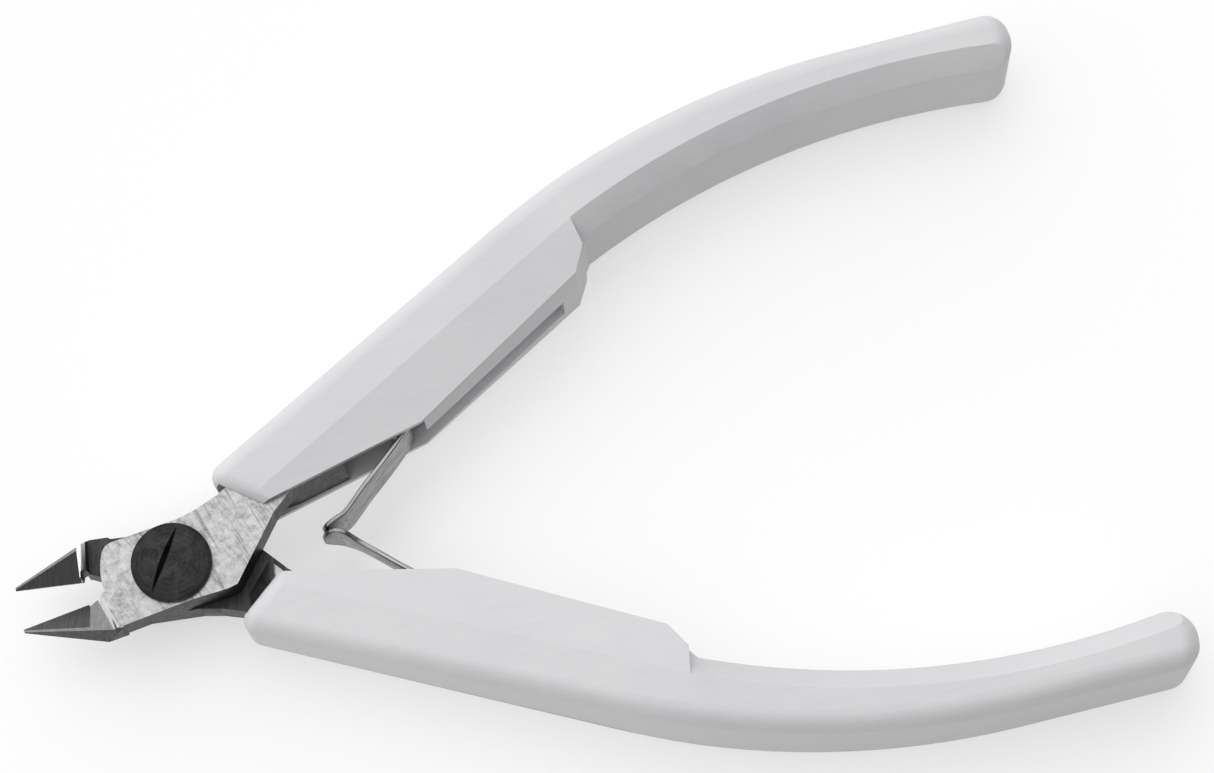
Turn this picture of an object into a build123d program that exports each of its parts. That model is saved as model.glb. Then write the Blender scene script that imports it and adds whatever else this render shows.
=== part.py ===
from build123d import *

import os
from math import asin, atan2, cos, hypot, radians, sin, sqrt, tan

# Diagonal cutting pliers, in millimetres, +Z up.
#
# The origin is on the pivot axis, on the back face of the head. +X runs from the pivot
# to the handles, along the line that halves the angle between them, and the jaws point
# along -X. Both levers and both grips are one shape. It is drawn closed, as the front
# lever, about a pivot at (0, 0) and with the lap joint at z = 0: its plate is above the
# lap, its handle is on the +Y side and its jaw on the -Y side. The back lever is the
# same shape, turned over about the X axis. Each half is then opened by half the angle.

half_opening = 7.235
head_half = 3.3
lap_gap = 0.05

# Head plate, jaw and tang, as the front lever has them when closed.
plate_radius = 7.45
plate_top = 4.5
plate_bottom = -4.4
plate_corner_radius = 1.5
plate_chord_distance = 7.2
plate_chord_angle = -45.9
plate_chord_start = 0.85
plate_chord_end = 8.7
lap_clearance = 0.3
front_shoulder_radius = 8.1
shoulder_lean = 0.5
back_recess_x = -9.1
recess_roll_x = -9.72
recess_roll_z = (1.25, 2.3)
ledge_chord_distance = 6.3
ledge_length = 11.0
ramp_start_x = 7.4
ramp_end_x = 10.6

jaw_tip_x = -16.9
jaw_root_x = -9.7
edge_gap = 0.02
edge_land = 0.12
relief_slope = 0.65
taper_turn = 9.0
tip_half = 0.2
band_top_x = -7.85
band_bottom_x = -8.47
band_bottom_z = 2.6
jaw_tip_outer_y = -0.4
jaw_heel = ((-7.0, -4.6), (-9.0, -4.55))
jaw_side_draft = 0.3
plate_side_relief_x = -8.66
plate_side_relief_lean = 0.4
lap_side_relief_x = (-9.75, -9.86, -10.1)
notch_y = -1.02
notch_end_y = -0.25
notch_radius = 0.4

tang_root = (11.5, 1.15)
tang_neck = (14.5, 3.1)
tang_step_x = 20.2
tang_step_inner_y = 3.7
tang_step_outer_y = 7.6
tang_end = 56.0
tang_end_y = (20.2, 22.4)

# Pivot screw and its round nut.
screw_head_radius = 4.2
screw_head_edge = 0.45
screw_head_dome = 0.55
screw_head_gap = 0.05
shoulder_radius = 2.9
running_fit = 0.04
thread_radius = 2.0
thread_fit = 0.02
slot_depth = 0.8
slot_wheel_radius = 20.0
slot_half_angle = 22.0
slot_angle = 57.8
slot_offset = 0.75
nut_radius = 3.8
nut_thickness = 2.0
nut_skin = 0.6

# Grip: outer line, crowned arc and tail line on the outside, a step on the inside.
grip_slope = 0.373
grip_offset = 5.5
grip_arc_centre = (74.3, -60.9)
grip_arc_radius = 88.0
tail_angle = 7.0
grip_end_x = 103.0
inner_arc_centre = (78.5, -66.0)
inner_arc_radius = 87.0
nose_corner = (10.6, 2.4)
nose_radius = 1.6
kink = (29.2, 4.5)
step_low = (50.0, 13.4)
step_x = 52.6
grip_nose_half = 4.2
grip_half = 6.35
grip_full_x = 52.0
nose_x = 8.0
ridge_offset = -0.3
wedge_slope = 0.2
wedge_end_x = (54.0, 50.0)
outer_rounding = 2.0
rounding_line_end_x = 44.0
rounding_tail_x = 86.0
end_outer_radius = 2.6
end_inner_radius = 3.0
chamfer_width = 2.2
chamfer_bottom_z = 4.4
cavity_half = 3.35
cavity_start = (4.0, -3.0)
cavity_floor_y = (6.0, 6.5)
pocket_end_x = 29.6
pocket_fall = 1.2
groove_end_x = 48.5
groove_depth = 1.8
groove_width = 3.5
groove_end_slant = (0.8, 2.2)

# Return springs: a rolled eye on a pin, a straight leaf and a curved foot.
pin = (26.9, 5.5)
pin_radius = 0.6
pin_half = 3.9
eye_fit = 0.05
leaf_thickness = 0.45
leaf_half_width = 2.9
foot_gap = 0.15
foot_radius = 2.0
foot_x = 16.2
foot_tip_angle = -100.0
lower_arm_half_width = 1.7
lower_arm_x = 19.2
lower_arm_shoulder = 1.2

# Reach of the cutting tools: past a whole grip, and past the head alone.
everything = 60.0
past_head = 9.0


def outer_line_y(x):
    """The straight outer side of the grip, and of the tang parallel to it."""
    return grip_offset + grip_slope * x


def arc_y(centre, radius, x):
    """Height of the upper half of a circle at x."""
    return centre[1] + sqrt(radius**2 - (x - centre[0]) ** 2)


def sheet_in_xz(points, half_depth=everything):
    """A prism along Y whose section in the XZ plane has these corners."""
    section = Plane.XZ * make_face(Polyline(*points, close=True))
    return extrude(section, half_depth, both=True)


def sheet_in_xy(points, low, high):
    """A prism along Z, from low to high, whose plan has these corners."""
    plan = make_face(Polyline(*points, close=True))
    return Pos(0, 0, low) * extrude(plan, high - low, dir=(0, 0, 1))


def upright(radius, low, high):
    """A cylinder on the pivot axis between two heights."""
    body = Cylinder(radius, high - low, align=(Align.CENTER, Align.CENTER, Align.MIN))
    return Pos(0, 0, low) * body


def both_faces(tool):
    """The same tool at the front face and, mirrored, at the back face."""
    return tool + mirror(tool, Plane.XY)


# --- levers ---------------------------------------------------------------------------


def chord_point(distance, along):
    """A point on the straight edge that ends the plate beside the other lever's neck."""
    angle = radians(plate_chord_angle)
    return (
        distance * cos(angle) - along * sin(angle),
        distance * sin(angle) + along * cos(angle),
    )


def tang_outline():
    """The bar that the grip is moulded on, from the neck to its end."""
    low, high = tang_end_y
    outer = [(12.0, 7.3), (30.0, 13.8), (48.0, 20.3), (tang_end, high)]
    inner = [(tang_end, low), (50.0, 18.0), (30.0, 10.7), (tang_step_x, tang_step_outer_y)]
    bare = [(tang_step_x, tang_step_inner_y), tang_neck, tang_root]
    return outer + inner + bare


def plate_arc_point(y):
    """The point at this height on the plate's round left side."""
    return (-sqrt(plate_radius**2 - y**2), y)


def lever_face():
    """Plan of the whole lever: jaw, head plate, neck and tang."""
    arc_start = plate_arc_point(notch_end_y)
    arc_stop = plate_arc_point(plate_top)
    arc_middle = plate_arc_point(plate_top / 2)
    notch_corner = (jaw_root_x, notch_y)
    plate_upper = [(2.1, 4.3), (4.2, 4.55), (6.8, 5.2)]
    plate_lower = [(4.6, -4.7), (0.5, plate_bottom), (-6.7, plate_bottom), *jaw_heel]
    chord = [
        chord_point(plate_chord_distance, plate_chord_end),
        chord_point(plate_chord_distance, plate_chord_start),
    ]
    jaw = [
        (jaw_tip_x, jaw_tip_outer_y),
        (jaw_tip_x, -edge_gap),
        (jaw_root_x, -edge_gap),
    ]
    rim = Polyline(
        arc_stop, *plate_upper, *tang_outline(), *chord, *plate_lower, *jaw,
        notch_corner, arc_start,
    )
    face = make_face(rim + ThreePointArc(arc_start, arc_middle, arc_stop))
    face = fillet(face.vertices().sort_by_distance(arc_stop)[0], plate_corner_radius)
    return fillet(face.vertices().sort_by_distance(notch_corner)[0], notch_radius)


def lap_space():
    """What the other lever's plate needs: the head region behind the lap face."""
    lean = shoulder_lean * everything / head_half
    disc = Cone(front_shoulder_radius + lean, front_shoulder_radius, everything)
    disc = Pos(0, 0, -everything / 2) * disc
    distance = plate_chord_distance + lap_clearance
    upper = chord_point(distance, -past_head)
    lower = chord_point(distance, past_head)
    neck = sheet_in_xy(
        [(0, -past_head), (lower[0], -lower[1]), (upper[0], -upper[1]), (0, past_head)],
        -everything,
        0,
    )
    ramp = sheet_in_xz(
        [
            (0, 0),
            (ramp_start_x, 0),
            (ramp_end_x, -head_half),
            (ramp_end_x, -past_head),
            (0, -past_head),
        ]
    )
    return Pos(0, 0, lap_gap) * (disc + neck + ramp)


def jaw_recess():
    """On the back lever the space runs on to a wall across the jaw's root, rolled at its top."""
    roll_width = back_recess_x - recess_roll_x
    roll_height = recess_roll_z[1] - recess_roll_z[0]
    foot = (back_recess_x, -recess_roll_z[0])
    middle = (
        back_recess_x - roll_width * (1 - cos(radians(45))),
        -recess_roll_z[0] - roll_height * sin(radians(45)),
    )
    top = (recess_roll_x, -recess_roll_z[1])
    sides = Polyline(
        top, (recess_roll_x, -past_head), (0, -past_head), (0, lap_gap),
        (back_recess_x, lap_gap), foot,
    )
    section = Plane.XZ * make_face(sides + ThreePointArc(foot, middle, top))
    return extrude(section, past_head, both=True)


def neck_ledge():
    """Behind the lap face, the inner side of the neck is set back from the plate's chord."""
    low = chord_point(ledge_chord_distance, 0.0)
    high = chord_point(ledge_chord_distance, ledge_length)
    return sheet_in_xy([low, high, tang_neck, (tang_neck[0], low[1])], -everything, lap_gap)


def jaw_taper():
    """Both faces of the jaw: a steep band at the plate, then a long taper to the tip."""
    tip_x = jaw_tip_x * cos(radians(taper_turn))
    slope = (band_bottom_z - tip_half) / (band_bottom_x - tip_x)
    band_slope = (head_half - band_bottom_z) / (band_top_x - band_bottom_x)
    reach = 3.0
    above = sheet_in_xz(
        [
            (band_top_x + reach, head_half + reach * band_slope),
            (band_bottom_x, band_bottom_z),
            (tip_x - reach, tip_half - slope * reach),
            (tip_x - reach, past_head),
            (band_top_x + reach, past_head),
        ]
    )
    return Rot(0, 0, taper_turn) * both_faces(above)


def side_draft(start, end, face):
    """The jaw's outer side leans inwards from this line at the lap to the named face."""
    start, end = Vector(*start), Vector(*end)
    along = (end - start).normalized()
    outward = Vector(0, 0, 1).cross(along)
    normal = (outward + Vector(0, 0, face * jaw_side_draft)).normalized()
    reach = 3.0
    plane = Plane(start - along * reach, x_dir=along, z_dir=normal)
    size = ((end - start).length + 2 * reach, 2 * past_head, past_head)
    return plane * Box(*size, align=(Align.MIN, Align.CENTER, Align.MIN))


def relief(right_side):
    """The ground face that rises from the cutting edge, left of this line of points."""
    near, far = 1.0, -6.0
    section = [
        (near, edge_land - near * relief_slope),
        (far, edge_land - far * relief_slope),
        (far, past_head),
        (near, past_head),
    ]
    prism = extrude(Plane.YZ * make_face(Polyline(*section, close=True)), 25.0, dir=(-1, 0, 0))
    left_x = jaw_tip_x - near
    left_side = [(left_x, right_side[-1][1]), (left_x, right_side[0][1])]
    return prism & sheet_in_xy([*right_side, *left_side], -near, past_head)


def plate_side_relief():
    top, bottom = 1.0, jaw_heel[1][1] - 0.15
    low_x = plate_side_relief_x + plate_side_relief_lean * (bottom - top)
    return relief([(plate_side_relief_x, top), (low_x, bottom)])


def lap_side_relief():
    heights = (1.0, notch_y, jaw_heel[1][1] - 0.15)
    return mirror(relief(list(zip(lap_side_relief_x, heights))), Plane.XY)


def lever(space):
    """One lever, less the space that the other lever's plate needs."""
    body = extrude(lever_face(), head_half, both=True)
    body -= space
    body -= neck_ledge()
    body -= jaw_taper()
    jaw_tip = (jaw_tip_x, jaw_tip_outer_y)
    for face in (1, -1):
        body -= side_draft(jaw_heel[1], jaw_tip, face)
    body -= side_draft(*jaw_heel, -1)
    body -= plate_side_relief()
    body -= lap_side_relief()
    return body


def front_lever():
    bore = Cylinder(shoulder_radius + running_fit, everything)
    return lever(lap_space()) - bore


def back_lever():
    bore = Cylinder(thread_radius + thread_fit, everything)
    seat_depth = nut_thickness + thread_fit
    seat = Pos(0, 0, head_half - seat_depth) * Cylinder(
        nut_radius + thread_fit, seat_depth + 1.0, align=(Align.CENTER, Align.CENTER, Align.MIN)
    )
    return lever(lap_space() + jaw_recess()) - bore - seat


# --- pivot ----------------------------------------------------------------------------


def pivot_screw():
    under = head_half + screw_head_gap
    edge_top = under + screw_head_edge
    dome_radius = (screw_head_radius**2 + screw_head_dome**2) / (2 * screw_head_dome)
    dome = Pos(0, 0, edge_top + screw_head_dome - dome_radius) * Sphere(dome_radius)
    head = upright(screw_head_radius, under, edge_top + screw_head_dome) & dome
    shoulder = upright(shoulder_radius, -lap_gap, under)
    thread = upright(thread_radius, nut_skin - head_half, -lap_gap)
    return head + shoulder + thread - screw_slot(edge_top + screw_head_dome)


def screw_slot(head_top):
    """A V-edged wheel that sinks into the dome and runs out before its rim."""
    half_width = slot_wheel_radius * tan(radians(slot_half_angle))
    side = Pos(0, 0, half_width / 2) * Cone(slot_wheel_radius, 0, half_width)
    wheel = Rot(90, 0, 0) * both_faces(side)
    height = head_top - slot_depth + slot_wheel_radius
    return Rot(0, 0, slot_angle) * Pos(0, slot_offset, height) * wheel


def pivot_nut():
    body = upright(nut_radius, -head_half, nut_thickness - head_half)
    return body - upright(thread_radius + thread_fit, nut_skin - head_half, 0)


# --- grips ----------------------------------------------------------------------------


def grip_face():
    """Plan of the grip."""
    join_x = grip_arc_centre[0] - grip_arc_radius * sin(atan2(grip_slope, 1))
    crown_end = (
        grip_arc_centre[0] + grip_arc_radius * sin(radians(tail_angle)),
        grip_arc_centre[1] + grip_arc_radius * cos(radians(tail_angle)),
    )
    nose_x_top = (sum(nose_corner) - grip_offset) / (1 + grip_slope)
    nose_top = (nose_x_top, outer_line_y(nose_x_top))
    crown_start = (join_x, arc_y(grip_arc_centre, grip_arc_radius, join_x))
    crown_x = grip_arc_centre[0]
    crown = ThreePointArc(
        crown_start, (crown_x, arc_y(grip_arc_centre, grip_arc_radius, crown_x)), crown_end
    )
    drop = tan(radians(tail_angle)) * (grip_end_x - crown_end[0])
    tail_top = (grip_end_x, crown_end[1] - drop)
    tail_bottom = (grip_end_x, arc_y(inner_arc_centre, inner_arc_radius, grip_end_x))
    step_high = (step_x, arc_y(inner_arc_centre, inner_arc_radius, step_x))
    palm_x = inner_arc_centre[0]
    palm = ThreePointArc(
        tail_bottom, (palm_x, arc_y(inner_arc_centre, inner_arc_radius, palm_x)), step_high
    )
    front = Polyline(step_high, step_low, kink, nose_corner, nose_top, crown_start)
    face = make_face(front + crown + Polyline(crown_end, tail_top, tail_bottom) + palm)
    face = fillet(face.vertices().sort_by_distance(nose_top)[0], nose_radius)
    face = fillet(face.vertices().sort_by_distance(tail_top)[0], end_outer_radius)
    return fillet(face.vertices().sort_by_distance(tail_bottom)[0], end_inner_radius)


def grip_wedge():
    """The lower part of the side face: it falls away from a ridge to the inner edge."""
    rise = (grip_half - grip_nose_half) / (grip_full_x - nose_x)
    start = Vector(nose_x, ridge_offset + grip_slope * nose_x, grip_nose_half)
    along = Vector(1, grip_slope, rise).normalized()
    across = Vector(grip_slope, -1, 0).normalized()
    down = (across - Vector(0, 0, wedge_slope)).normalized()
    plane = Plane(start, x_dir=along, z_dir=along.cross(down) * -1)
    size = (3 * everything, everything, 2 * grip_half)
    slab = plane * Box(*size, align=(Align.CENTER, Align.CENTER, Align.MIN))
    low_x, high_x = wedge_end_x
    wall = [(-5, -20), (low_x, -20), (low_x, 8.8), (high_x, 25), (-5, 25)]
    return slab & sheet_in_xy(wall, 0, everything)


def grip_chamfer():
    """The bevel along the rear inner edge, turned about that edge's own centre."""
    slope = (grip_half - chamfer_bottom_z) / chamfer_width
    reach = 2.0
    section = [
        (inner_arc_radius - reach, chamfer_bottom_z - reach * slope),
        (inner_arc_radius + chamfer_width + reach, grip_half + reach * slope),
        (inner_arc_radius - reach, grip_half + reach * slope),
    ]
    ring = revolve(Plane.XZ * make_face(Polyline(*section, close=True)), Axis.Z)
    ring = Pos(inner_arc_centre[0], inner_arc_centre[1], 0) * ring
    return ring & sheet_in_xy([(step_x, 5), (120, 5), (120, 40), (51.4, 40), (51.4, 22)], 0, 20)


def grip_cavity():
    """The slot around the bare tang, then the deeper pocket that holds the spring."""
    start_x, start_y = cavity_start
    slot = [
        (start_x, cavity_floor_y[0]),
        (start_x, start_y),
        (pocket_end_x, start_y),
        (pocket_end_x, tang_step_outer_y + pocket_fall),
        (tang_step_x, tang_step_outer_y),
        (12.0, cavity_floor_y[1]),
    ]
    return sheet_in_xy(slot, -cavity_half, cavity_half)


def grip_groove():
    """The shallow moulded groove that runs on from the pocket along the inner face."""
    slope = (step_low[1] - kink[1]) / (step_low[0] - kink[0])
    start_x = pocket_end_x - 1.0
    start_y = kink[1] + slope * (start_x - kink[0])
    end_y = kink[1] + slope * (groove_end_x - kink[0])
    near, far = groove_end_slant
    outline = [
        (start_x, start_y - groove_depth),
        (groove_end_x, end_y - groove_depth),
        (groove_end_x - near, end_y + groove_depth * 0.5),
        (groove_end_x - far, end_y + groove_depth * 0.6),
        (start_x, start_y + groove_depth),
    ]
    return sheet_in_xy(outline, -groove_width, 0)


def grip(tang):
    rise = (grip_half - grip_nose_half) / (grip_full_x - nose_x)
    front = grip_nose_half - rise * nose_x
    side = [(0, front), (grip_full_x, grip_half), (120, grip_half), (120, -grip_half)]
    side += [(grip_full_x, -grip_half), (0, -front)]
    body = extrude(grip_face(), everything, both=True) & sheet_in_xz(side)
    body = fillet(body.edges().filter_by(is_outer_edge), outer_rounding)
    body -= both_faces(grip_wedge())
    body -= both_faces(grip_chamfer())
    body -= grip_cavity()
    body -= grip_groove()
    body -= Pos(*pin) * Cylinder(pin_radius, 2 * pin_half)
    return body - tang


def is_outer_edge(edge):
    """True for the long edges where the outer side meets the front and back faces."""
    middle = edge @ 0.5
    on_face = abs(middle.Z) > grip_nose_half / 2
    crosses = abs((edge @ 0).Z - (edge @ 1).Z) > grip_half
    if crosses or not on_face:
        return False
    off_line = abs(middle.Y - outer_line_y(middle.X))
    off_crown = abs(
        hypot(middle.X - grip_arc_centre[0], middle.Y - grip_arc_centre[1]) - grip_arc_radius
    )
    on_line = off_line < 0.6 and middle.X < rounding_line_end_x
    return on_line or off_crown < 1.0 or middle.X > rounding_tail_x


# --- springs --------------------------------------------------------------------------


def rest_pin():
    """Where the spring pin is with the pliers open: the upper one."""
    turn = radians(half_opening)
    x = pin[0] * cos(turn) - pin[1] * sin(turn)
    return x, pin[0] * sin(turn) + pin[1] * cos(turn)


def on_circle(centre, radius, angle):
    return (centre[0] + radius * cos(angle), centre[1] + radius * sin(angle))


def leaf_spring():
    """The upper leaf with the pliers open, in the frame that both halves share."""
    eye_x, eye_y = rest_pin()
    eye_inner = pin_radius + eye_fit
    eye_mid = eye_inner + leaf_thickness / 2
    foot_centre = (foot_x, foot_gap + leaf_thickness / 2 + foot_radius)
    # The straight part touches the eye on one side and the foot's arc on the other.
    gap = hypot(eye_x - foot_centre[0], eye_y - foot_centre[1])
    heading = atan2(eye_y - foot_centre[1], eye_x - foot_centre[0])
    lean = asin((foot_radius - eye_mid) / gap)
    tangent = heading + lean
    joint_angle = tangent - radians(90)
    foot_joint = on_circle(foot_centre, foot_radius, joint_angle)
    eye_joint = on_circle((eye_x, eye_y), eye_mid, joint_angle)
    tip_angle = radians(foot_tip_angle)
    tip = on_circle(foot_centre, foot_radius, tip_angle)
    foot_middle = on_circle(foot_centre, foot_radius, (tip_angle + joint_angle) / 2)
    path = ThreePointArc(tip, foot_middle, foot_joint) + Line(foot_joint, eye_joint)
    strip = offset(path, leaf_thickness / 2, side=Side.BOTH, kind=Kind.ARC)
    leaf = extrude(make_face(strip), leaf_half_width, both=True)
    eye = Pos(eye_x, eye_y) * Cylinder(eye_inner + leaf_thickness, 2 * leaf_half_width)
    eye_hole = Pos(eye_x, eye_y) * Cylinder(eye_inner, 4 * leaf_half_width)
    return leaf + eye - eye_hole


def lower_leaf_spring():
    """The lower leaf: the same strip turned over, narrowed between its foot and its eye."""
    wide = leaf_half_width + 1
    narrow = lower_arm_half_width
    foot_end = lower_arm_x - lower_arm_shoulder
    right = 2 * lower_arm_x
    blank = [(0, -wide), (foot_end, -wide), (lower_arm_x, -narrow), (right, -narrow)]
    blank += [(right, narrow), (lower_arm_x, narrow), (foot_end, wide), (0, wide)]
    return Rot(180, 0, 0) * (leaf_spring() & sheet_in_xz(blank))


def spring_pin():
    return Pos(*pin) * Cylinder(pin_radius, 2 * pin_half)


# --- assembly -------------------------------------------------------------------------


def front_half(shape):
    return Pos(0, 0, head_half) * Rot(0, 0, half_opening) * shape


def back_half(shape):
    return Pos(0, 0, head_half) * Rot(0, 0, -half_opening) * Rot(180, 0, 0) * shape


def pliers():
    front = front_lever()
    back = back_lever()
    return {
        "front_lever": front_half(front),
        "back_lever": back_half(back),
        "upper_grip": front_half(grip(front)),
        "lower_grip": back_half(grip(back)),
        "pivot_screw": Pos(0, 0, head_half) * pivot_screw(),
        "pivot_nut": Pos(0, 0, head_half) * pivot_nut(),
        "upper_leaf_spring": Pos(0, 0, head_half) * leaf_spring(),
        "lower_leaf_spring": Pos(0, 0, head_half) * lower_leaf_spring(),
        "upper_spring_pin": front_half(spring_pin()),
        "lower_spring_pin": back_half(spring_pin()),
    }


os.makedirs("parts", exist_ok=True)
for name, shape in pliers().items():
    export_step(shape, f"parts/{name}.step")
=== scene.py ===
import math

import bpy
from mathutils import Matrix, Vector


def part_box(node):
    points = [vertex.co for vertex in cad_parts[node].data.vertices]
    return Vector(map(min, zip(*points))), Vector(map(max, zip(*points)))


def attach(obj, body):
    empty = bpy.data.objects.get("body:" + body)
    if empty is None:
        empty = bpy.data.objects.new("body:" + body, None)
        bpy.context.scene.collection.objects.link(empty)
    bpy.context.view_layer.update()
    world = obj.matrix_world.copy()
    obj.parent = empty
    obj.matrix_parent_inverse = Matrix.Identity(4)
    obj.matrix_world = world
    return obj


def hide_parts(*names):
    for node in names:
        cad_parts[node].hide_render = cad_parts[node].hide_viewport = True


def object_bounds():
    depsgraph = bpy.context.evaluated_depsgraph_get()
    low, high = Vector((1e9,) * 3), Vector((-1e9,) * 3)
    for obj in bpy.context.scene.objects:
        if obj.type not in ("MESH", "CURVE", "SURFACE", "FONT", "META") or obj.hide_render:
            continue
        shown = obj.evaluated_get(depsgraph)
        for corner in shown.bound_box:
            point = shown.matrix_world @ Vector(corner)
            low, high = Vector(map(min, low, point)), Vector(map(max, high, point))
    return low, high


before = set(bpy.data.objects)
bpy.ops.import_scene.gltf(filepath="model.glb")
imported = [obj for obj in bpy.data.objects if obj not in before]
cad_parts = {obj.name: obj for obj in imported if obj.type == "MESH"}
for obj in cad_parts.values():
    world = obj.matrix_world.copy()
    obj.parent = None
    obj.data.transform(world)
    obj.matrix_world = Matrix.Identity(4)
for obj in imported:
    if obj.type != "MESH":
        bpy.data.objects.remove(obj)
cad_low, cad_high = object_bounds()

# Lengths are in millimetres and angles in degrees, unless a name says otherwise.
MM = 0.001
LAP_Z = 3.3
HEAD_HALF = 3.3
JAW_END_X = -7.2
LEVER_SLOPE = 0.126

# How the CAD nodes' edges are softened.
WELD_DISTANCE = 0.002
FLAT_ANGLE = 0.6

# The return springs' strips.
LEAF_THICKNESS = 0.5
LEAF_HALF_WIDTH = 2.9
ARM_HALF_WIDTH = 1.7
EDGE_CUT = 0.13
EYE_RADIUS = 0.92
EYE_START = -45.0
EYE_TURN = 300.0
EYE_STEPS = 36

# Floor, dome and camera. The floor's half width is in metres.
FLOOR_HALF_WIDTH_M = 1.5
FLOOR_GAP = 0.02
FLOOR_GREY = 0.46
FLOOR_GLOW = 0.5
DOME = 1.35
DOME_LOW = 0.05
DOME_LEAN = (-0.45, 0.6)
DOME_RAMP = (0.1, 0.75)
VIEW_ANGLE = 20.75
CAMERA_PLACE = (34.63, -98.25, 336.43)
CAMERA_TARGET = (48.29, 8.21, 3.3)
CAMERA_UP = (0.2426, 0.9701, 0)

# --- shader helpers -------------------------------------------------------------------


class Shader:
    """A node material, built a node at a time. Lengths are in millimetres."""

    def __init__(self, name):
        self.material = bpy.data.materials.new(name)
        self.material.use_nodes = True
        self.tree = self.material.node_tree
        self.surface = self.tree.nodes["Principled BSDF"]

    def link(self, source, node, socket):
        """Connects an output socket, or sets a plain value, on the named input."""
        if isinstance(source, bpy.types.NodeSocket):
            self.tree.links.new(source, node.inputs[socket])
        elif source is not None:
            node.inputs[socket].default_value = source

    def add(self, kind, **values):
        node = self.tree.nodes.new("ShaderNode" + kind)
        for key, value in values.items():
            setattr(node, key, value)
        return node

    def coords(self, size=(1, 1, 1), turn=0.0):
        """Object coordinates in units of size, along axes turned by this many degrees."""
        source = self.add("TexCoord")
        mapping = self.add("Mapping", vector_type="TEXTURE")
        mapping.inputs["Scale"].default_value = [s * MM for s in size]
        mapping.inputs["Rotation"].default_value = (0, 0, math.radians(turn))
        self.tree.links.new(source.outputs["Object"], mapping.inputs["Vector"])
        return mapping.outputs["Vector"]

    def noise(self, size, turn=0.0, detail=4.0, roughness=0.55, distortion=0.0):
        """Noise whose grains have this size, stretched along a turned axis."""
        if not isinstance(size, tuple):
            size = (size, size, size)
        node = self.add("TexNoise")
        self.link(self.coords(size, turn), node, "Vector")
        node.inputs["Scale"].default_value = 1.0
        node.inputs["Detail"].default_value = detail
        node.inputs["Roughness"].default_value = roughness
        node.inputs["Distortion"].default_value = distortion
        return node.outputs["Fac"]

    def ramp(self, value, *stops):
        """A ramp of greys or colours: stops are (position, grey or colour)."""
        node = self.add("ValToRGB")
        self.link(value, node, "Fac")
        while len(node.color_ramp.elements) < len(stops):
            node.color_ramp.elements.new(0.5)
        for element, (position, colour) in zip(node.color_ramp.elements, stops):
            element.position = position
            if not isinstance(colour, tuple):
                colour = (colour, colour, colour)
            element.color = (*colour, 1)
        return node.outputs["Color"]

    def math(self, operation, a, b=None):
        node = self.add("Math", operation=operation)
        self.link(a, node, 0)
        self.link(b, node, 1)
        return node.outputs["Value"]

    def mix(self, factor, a, b, blend="MIX"):
        """Mixes two colours or greys."""
        node = self.add("Mix", data_type="RGBA", blend_type=blend)
        self.link(factor, node, 0)
        for value, socket in ((a, 6), (b, 7)):
            if not isinstance(value, bpy.types.NodeSocket):
                value = (value, value, value, 1)
            self.link(value, node, socket)
        return node.outputs[2]

    def bump(self, height, depth, strength=1.0, below=None):
        node = self.add("Bump")
        self.link(height, node, "Height")
        node.inputs["Distance"].default_value = depth * MM
        node.inputs["Strength"].default_value = strength
        self.link(below, node, "Normal")
        return node.outputs["Normal"]

    def flatness(self):
        """1 where the surface faces straight to the front or back, 0 on upright walls."""
        source = self.add("TexCoord")
        parts = self.add("SeparateXYZ")
        self.tree.links.new(source.outputs["Normal"], parts.inputs[0])
        return self.math("ABSOLUTE", parts.outputs["Z"])

    def place(self, axis):
        """One object coordinate, in millimetres."""
        parts = self.add("SeparateXYZ")
        self.tree.links.new(self.coords(), parts.inputs[0])
        return parts.outputs[axis]

    def step(self, value, start, end):
        """Rises smoothly from 0 at start to 1 at end."""
        node = self.add("MapRange", interpolation_type="SMOOTHSTEP")
        self.link(value, node, "Value")
        node.inputs["From Min"].default_value = start
        node.inputs["From Max"].default_value = end
        return node.outputs["Result"]


def grip_plastic():
    """Matte moulded plastic with a fine spark-eroded texture and faint handling marks."""
    s = Shader("grip_plastic")
    cloud = s.noise(14.0, detail=3.0)
    drawn = s.noise((9.0, 0.5, 0.5), detail=3.0)
    tone = s.mix(0.35, cloud, drawn)
    colour = s.ramp(tone, (0.3, (0.565, 0.565, 0.58)), (0.7, (0.625, 0.625, 0.635)))
    speck = s.noise(0.28, detail=2.0)
    scuff = s.math("MULTIPLY", s.step(s.noise(2.2, detail=6.0, roughness=0.7), 0.6, 0.72), 0.12)
    s.link(s.mix(scuff, colour, 0.45), s.surface, "Base Color")
    s.link(s.ramp(tone, (0.3, 0.42), (0.7, 0.56)), s.surface, "Roughness")
    s.surface.inputs["Specular IOR Level"].default_value = 0.4
    fine = s.bump(speck, 0.02, 0.5)
    s.link(s.bump(drawn, 0.03, 0.5, fine), s.surface, "Normal")
    return s.material


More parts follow.
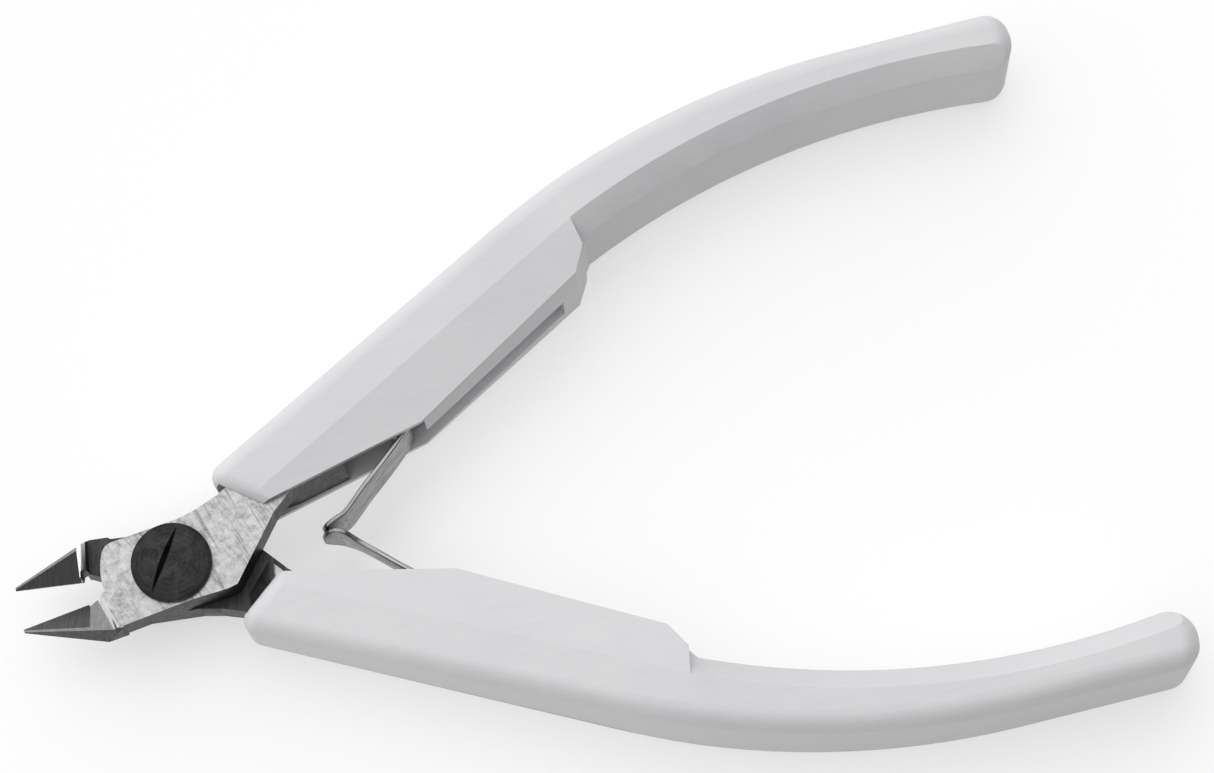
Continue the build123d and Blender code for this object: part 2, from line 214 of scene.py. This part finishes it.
def tool_steel():
    """Blackened steel, ground bright on its outermost faces, with painted highlights on its jaw
    ridges, tapers, neck ramps and rims.
    """
    s = Shader("tool_steel")
    flat = s.flatness()
    height = s.math("ABSOLUTE", s.math("SUBTRACT", s.place("Z"), LAP_Z))

    # Ground faces: soft mottling, grinding lines in patches, a few deep scratches, grit.
    mottle = s.noise(0.7, detail=6.0, roughness=0.68, distortion=0.35)
    lines = s.noise((6.0, 0.17, 0.5), -66.0, detail=4.0, roughness=0.6)
    deep = s.noise((11.0, 0.42, 0.5), -71.0, detail=2.0)
    patch = s.step(s.noise((4.0, 2.4, 2.0), -66.0, detail=2.0), 0.36, 0.56)
    lines = s.mix(patch, 0.5, lines)
    ground = s.ramp(mottle, (0.34, 0.27), (0.46, 0.345), (0.68, 0.41))
    scored = s.ramp(lines, (0.32, 0.42), (0.47, 1.0), (0.53, 1.0), (0.66, 0.66))
    ground = s.mix(0.8, ground, scored, "MULTIPLY")
    grit = s.noise(0.22, detail=3.0, roughness=0.7)
    ground = s.mix(0.6, ground, s.ramp(grit, (0.35, 0.75), (0.5, 1.0)), "MULTIPLY")
    ground = s.mix(0.7, ground, s.ramp(deep, (0.34, 0.45), (0.42, 1.0)), "MULTIPLY")

    # Everything else: dark, with brush marks across the walls and along the lap faces.
    upright = s.noise((0.22, 0.22, 3.0), detail=3.0)
    along = s.noise((0.25, 4.0, 4.0), -14.0, detail=4.0)
    brushed = s.mix(s.step(flat, 0.4, 0.8), upright, along)
    dark = s.ramp(brushed, (0.3, 0.027), (0.7, 0.058))

    # Painted highlights: the jaws' ridges are painted bright and their long tapers half bright,
    # where the steel would mirror the light;
    # the ramps at the necks get a faint painted sheen, a little lighter than the lap faces.
    # The colour of the painted highlights below.
    highlight_tone = s.mix(
        0.5, s.ramp(mottle, (0.35, 0.6), (0.65, 0.88)), s.ramp(brushed, (0.3, 0.55), (0.7, 0.9))
    )
    ridges = s.ramp(
        flat,
        (0.0, 0.0), (0.30, 0.05), (0.45, 1.0), (0.76, 1.0),
        (0.80, 0.08), (0.90, 0.08), (0.945, 0.26), (0.985, 0.26), (0.995, 0.0),
    )
    ramps = s.ramp(flat, (0.5, 0.0), (0.65, 0.22), (0.75, 0.22), (0.85, 0.0))
    on_jaw = s.math("LESS_THAN", s.place("X"), JAW_END_X)
    bright = s.mix(on_jaw, ramps, ridges)

    # A painted highlight lies on the rolled top of the back jaw's recess, across the jaw, turned
    # with its lever.
    across = s.math("SUBTRACT", s.place("X"), s.math("MULTIPLY", s.place("Y"), LEVER_SLOPE))
    roll = s.math("MULTIPLY", s.step(across, -10.15, -10.0), s.step(across, -9.3, -9.5))
    roll = s.math("MULTIPLY", roll, s.step(flat, 0.45, 0.6))
    roll = s.math("MULTIPLY", roll, s.step(s.place("Y"), 0.9, 1.3))
    bright = s.math("MAXIMUM", bright, roll)

    # A painted highlight lies along the broken rims of the outermost faces too.
    rim = s.math(
        "MULTIPLY", s.step(height, HEAD_HALF - 0.25, HEAD_HALF - 0.18), s.step(flat, 0.2, 0.45)
    )
    bright = s.math("MAXIMUM", bright, rim)
    # Dark oxide, with the painted highlights laid over it.
    base = s.mix(bright, dark, highlight_tone)

    outermost = s.math(
        "MULTIPLY", s.step(height, HEAD_HALF - 0.12, HEAD_HALF - 0.04), s.step(flat, 0.8, 0.97)
    )
    s.link(s.mix(outermost, base, ground), s.surface, "Base Color")
    s.surface.inputs["Metallic"].default_value = 1.0
    s.link(s.ramp(mottle, (0.35, 0.48), (0.65, 0.34)), s.surface, "Roughness")
    relief = s.mix(outermost, brushed, s.mix(0.5, lines, mottle))
    s.link(s.bump(relief, 0.04, 0.5), s.surface, "Normal")
    return s.material


def black_oxide():
    """Blackened, turned steel: rings about the pivot axis, with a little dust."""
    s = Shader("black_oxide")
    rings = s.add("TexWave", wave_type="RINGS", rings_direction="Z")
    s.link(s.coords(), rings, "Vector")
    rings.inputs["Scale"].default_value = 0.62
    rings.inputs["Distortion"].default_value = 2.5
    rings.inputs["Detail"].default_value = 4.0
    rings.inputs["Detail Scale"].default_value = 1.6
    turned = rings.outputs["Fac"]
    speck = s.noise(0.22, detail=4.0, roughness=0.7)
    smudge = s.noise(1.6, detail=4.0, roughness=0.65, distortion=0.8)
    colour = s.mix(0.6, s.ramp(turned, (0.3, 0.018), (1.0, 0.030)),
                   s.ramp(smudge, (0.38, 0.014), (0.7, 0.050)))
    s.link(colour, s.surface, "Base Color")
    s.surface.inputs["Metallic"].default_value = 0.85
    s.link(s.ramp(speck, (0.3, 0.38), (0.7, 0.55)), s.surface, "Roughness")
    s.link(s.bump(turned, 0.012, 0.4, s.bump(speck, 0.015, 0.4)), s.surface, "Normal")
    return s.material


def spring_steel(turn):
    """Rolled spring strip, with drawn lines along the leaf, which lies at this angle."""
    s = Shader("spring_steel")
    drawn = s.noise((6.0, 0.09, 0.5), turn, detail=3.0)
    cloud = s.noise(1.1, detail=4.0)
    colour = s.mix(
        0.4, s.ramp(drawn, (0.36, 0.12), (0.62, 0.42)), s.ramp(cloud, (0.3, 0.16), (0.7, 0.36))
    )
    s.link(colour, s.surface, "Base Color")
    s.surface.inputs["Metallic"].default_value = 1.0
    s.link(s.ramp(cloud, (0.3, 0.26), (0.7, 0.42)), s.surface, "Roughness")
    s.link(s.bump(drawn, 0.02, 0.5), s.surface, "Normal")
    return s.material


# --- CAD nodes ------------------------------------------------------------------------


def soften(name, width, angle, segments=2):
    """Breaks the sharp edges of a CAD node, as the real part's are."""
    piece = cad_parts[name]
    weld = piece.modifiers.new("weld", "WELD")
    weld.merge_threshold = WELD_DISTANCE * MM
    plane = piece.modifiers.new("plane", "DECIMATE")
    plane.decimate_type = "DISSOLVE"
    plane.angle_limit = math.radians(FLAT_ANGLE)
    bevel = piece.modifiers.new("bevel", "BEVEL")
    bevel.width = width * MM
    bevel.segments = segments
    bevel.limit_method = "ANGLE"
    bevel.angle_limit = math.radians(angle)


def dress(names, material):
    """Gives these CAD nodes this material and no other."""
    for name in names:
        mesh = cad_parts[name].data
        mesh.materials.clear()
        mesh.materials.append(material)


plastic = grip_plastic()
steel = tool_steel()
oxide = black_oxide()
upper_strip = spring_steel(42.0)
lower_strip = spring_steel(-43.0)
dress(("upper_grip", "lower_grip"), plastic)
dress(("front_lever", "back_lever"), steel)
dress(("pivot_screw", "pivot_nut"), oxide)
dress(("upper_spring_pin", "lower_spring_pin"), upper_strip)

# --- return springs -------------------------------------------------------------------


def spline(points, steps=8):
    """A smooth line through these points."""
    line = [Vector(p) for p in points]
    line = [2 * line[0] - line[1], *line, 2 * line[-1] - line[-2]]
    out = []
    for a, b, c, d in zip(line, line[1:], line[2:], line[3:]):
        for i in range(steps):
            t = i / steps
            out.append(
                0.5 * (2 * b + (c - a) * t + (2 * a - 5 * b + 4 * c - d) * t**2
                       + (3 * b - a - 3 * c + d) * t**3)
            )
    return out + [line[-2]]


def around_eye(centre, side):
    """The rolled end of a leaf about its pin; side is 1 for the upper leaf, -1 below."""
    line = []
    for i in range(EYE_STEPS + 1):
        angle = math.radians(EYE_START + EYE_TURN * i / EYE_STEPS)
        line.append(
            Vector((centre[0] + EYE_RADIUS * math.cos(angle),
                    centre[1] + side * EYE_RADIUS * math.sin(angle)))
        )
    return line


def between(value, *stops):
    """Straight-line reading of a table of (place, width)."""
    for (a, low), (b, high) in zip(stops, stops[1:]):
        if value <= b:
            return low + (high - low) * max(0.0, value - a) / (b - a)
    return stops[-1][1]


def upper_width(along):
    """Half width of the upper leaf, this far from its tip."""
    return between(along, (0, 1.3), (0.2, 1.9), (0.5, 2.4), (1.0, 2.75), (1.6, LEAF_HALF_WIDTH))


def lower_width(along):
    """Half width of the lower leaf, whose arm is narrower than its ends."""
    return between(
        along, (0, 0.5), (0.15, 1.1), (0.4, 1.7), (0.8, 2.3), (1.4, 2.75), (2.0, LEAF_HALF_WIDTH),
        (2.6, 2.8), (3.4, 2.3), (4.2, 1.85), (5.0, ARM_HALF_WIDTH), (14.5, ARM_HALF_WIDTH),
        (16.0, LEAF_HALF_WIDTH),
    )


def strip_section(half_width):
    """Corners of the strip's section, as (across its thickness, along Z), with soft edges."""
    half = LEAF_THICKNESS / 2
    cut = EDGE_CUT
    corner = [(half, half_width - cut), (half - 0.3 * cut, half_width - 0.3 * cut),
              (half - cut, half_width)]
    right = corner + [(-x, z) for x, z in reversed(corner)]
    return right + [(-x, -z) for x, z in right]


def make_leaf(name, line, width, material):
    """A bent strip of spring steel along this line in the lap plane."""
    verts, faces, along = [], [], 0.0
    for i, point in enumerate(line):
        before, after = line[max(i - 1, 0)], line[min(i + 1, len(line) - 1)]
        heading = (after - before).normalized()
        across = Vector((heading.y, -heading.x))
        along += (point - line[max(i - 1, 0)]).length
        for offset, z in strip_section(width(along)):
            place = point + across * offset
            verts.append((place.x * MM, place.y * MM, (LAP_Z + z) * MM))
    count = len(strip_section(1.0))
    for i in range(len(line) - 1):
        for j in range(count):
            k = (j + 1) % count
            faces.append(tuple(count * i + j for i, j in ((i, j), (i + 1, j), (i + 1, k), (i, k))))
    faces.append(tuple(range(count)))
    faces.append(tuple(reversed(range(count * (len(line) - 1), count * len(line)))))
    mesh = bpy.data.meshes.new(name)
    mesh.from_pydata(verts, [], faces)
    mesh.materials.append(material)
    mesh.polygons.foreach_set("use_smooth", [True] * len(mesh.polygons))
    piece = bpy.data.objects.new(name, mesh)
    bpy.context.scene.collection.objects.link(piece)
    normals = piece.modifiers.new("normals", "WEIGHTED_NORMAL")
    normals.keep_sharp = False
    return piece


def pin_centre(node):
    low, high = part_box(node)
    return ((low[0] + high[0]) / 2 / MM, (low[1] + high[1]) / 2 / MM)


def leaf_line(foot, pin, side):
    """A leaf from its foot to the eye rolled about this pin; side as for around_eye."""
    eye = around_eye(pin_centre(pin), side)
    return spline(foot + [tuple(eye[0])]) + eye[1:]


# Points of each leaf from its tip towards its eye.
upper_foot = [(15.85, 0.06), (16.5, 0.24), (17.4, 0.55), (18.5, 1.0), (19.7, 2.0), (21.0, 3.2),
              (23.4, 5.2), (25.4, 6.95)]
lower_foot = [(15.6, -0.6), (16.4, -0.5), (17.3, -0.66), (18.2, -1.2), (19.2, -2.1),
              (21.2, -4.0), (23.1, -5.85), (24.9, -7.35)]
upper_line = leaf_line(upper_foot, "upper_spring_pin", 1)
lower_line = leaf_line(lower_foot, "lower_spring_pin", -1)
upper_leaf = make_leaf("upper_leaf_strip", upper_line, upper_width, upper_strip)
lower_leaf = make_leaf("lower_leaf_strip", lower_line, lower_width, lower_strip)
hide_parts("upper_leaf_spring")
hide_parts("lower_leaf_spring")
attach(upper_leaf, "upper_leaf")
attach(lower_leaf, "lower_leaf")

for name in ("front_lever", "back_lever"):
    soften(name, 0.12, 28.0)
for name in ("upper_grip", "lower_grip"):
    soften(name, 0.35, 24.0, 3)
soften("pivot_screw", 0.08, 35.0)
soften("pivot_nut", 0.1, 35.0)

# --- floor, lights and camera ---------------------------------------------------------


def aim(obj, place, target, up):
    """Puts obj at place, with its -Z axis towards target and its +Y axis near up."""
    back = (place - target).normalized()
    right = up.cross(back).normalized()
    above = back.cross(right)
    turn = Matrix((right, above, back)).transposed().to_4x4()
    obj.matrix_world = Matrix.Translation(place) @ turn


def make_floor():
    half = FLOOR_HALF_WIDTH_M
    z = cad_low[2] - FLOOR_GAP * MM
    mesh = bpy.data.meshes.new("floor")
    corners = [(-half, -half, z), (half, -half, z), (half, half, z), (-half, half, z)]
    mesh.from_pydata(corners, [], [(0, 1, 2, 3)])
    floor = bpy.data.objects.new("floor", mesh)
    bpy.context.scene.collection.objects.link(floor)
    s = Shader("floor")
    s.link((FLOOR_GREY, FLOOR_GREY, FLOOR_GREY, 1), s.surface, "Base Color")
    s.surface.inputs["Roughness"].default_value = 0.8
    s.surface.inputs["Specular IOR Level"].default_value = 0.0
    s.surface.inputs["Emission Color"].default_value = (1, 1, 1, 1)
    s.surface.inputs["Emission Strength"].default_value = FLOOR_GLOW
    mesh.materials.append(s.material)


def area_light(name, place, target, size, power):
    data = bpy.data.lights.new(name, "AREA")
    data.shape = "RECTANGLE"
    data.size, data.size_y = size
    data.energy = power
    light = bpy.data.objects.new(name, data)
    bpy.context.scene.collection.objects.link(light)
    aim(light, Vector(place), Vector(target), Vector((0, 1, 0.01)))


def make_world():
    """A soft white dome, darker towards the horizon, above all on the near side."""
    world = bpy.data.worlds.new("studio")
    world.use_nodes = True
    tree = world.node_tree
    background = tree.nodes["Background"]
    source = tree.nodes.new("ShaderNodeTexCoord")
    parts = tree.nodes.new("ShaderNodeSeparateXYZ")
    tree.links.new(source.outputs["Generated"], parts.inputs[0])
    value = parts.outputs["Z"]
    for axis, weight in (("X", DOME_LEAN[0]), ("Y", DOME_LEAN[1])):
        lean = tree.nodes.new("ShaderNodeMath")
        lean.operation = "MULTIPLY_ADD"
        tree.links.new(parts.outputs[axis], lean.inputs[0])
        lean.inputs[1].default_value = weight
        tree.links.new(value, lean.inputs[2])
        value = lean.outputs[0]
    ramp = tree.nodes.new("ShaderNodeValToRGB")
    tree.links.new(value, ramp.inputs["Fac"])
    low, high = ramp.color_ramp.elements
    low.position, high.position = DOME_RAMP
    low.color = (DOME_LOW, DOME_LOW, DOME_LOW, 1)
    high.color = (1, 1, 1, 1)
    tree.links.new(ramp.outputs["Color"], background.inputs["Color"])
    background.inputs["Strength"].default_value = DOME
    bpy.context.scene.world = world


def make_camera():
    data = bpy.data.cameras.new("camera")
    data.sensor_fit = "HORIZONTAL"
    data.sensor_width = 36.0
    data.lens = data.sensor_width / 2 / math.tan(math.radians(VIEW_ANGLE) / 2)
    data.clip_start = 0.01
    camera = bpy.data.objects.new("camera", data)
    bpy.context.scene.collection.objects.link(camera)
    aim(camera, Vector(CAMERA_PLACE) * MM, Vector(CAMERA_TARGET) * MM, Vector(CAMERA_UP))
    bpy.context.scene.camera = camera


make_floor()
make_world()
area_light("overhead", (0.0, 0.25, 0.7), (0.045, 0.0, 0.0), (0.5, 0.5), 0.6)
make_camera()
bpy.context.scene.view_settings.view_transform = "Standard"
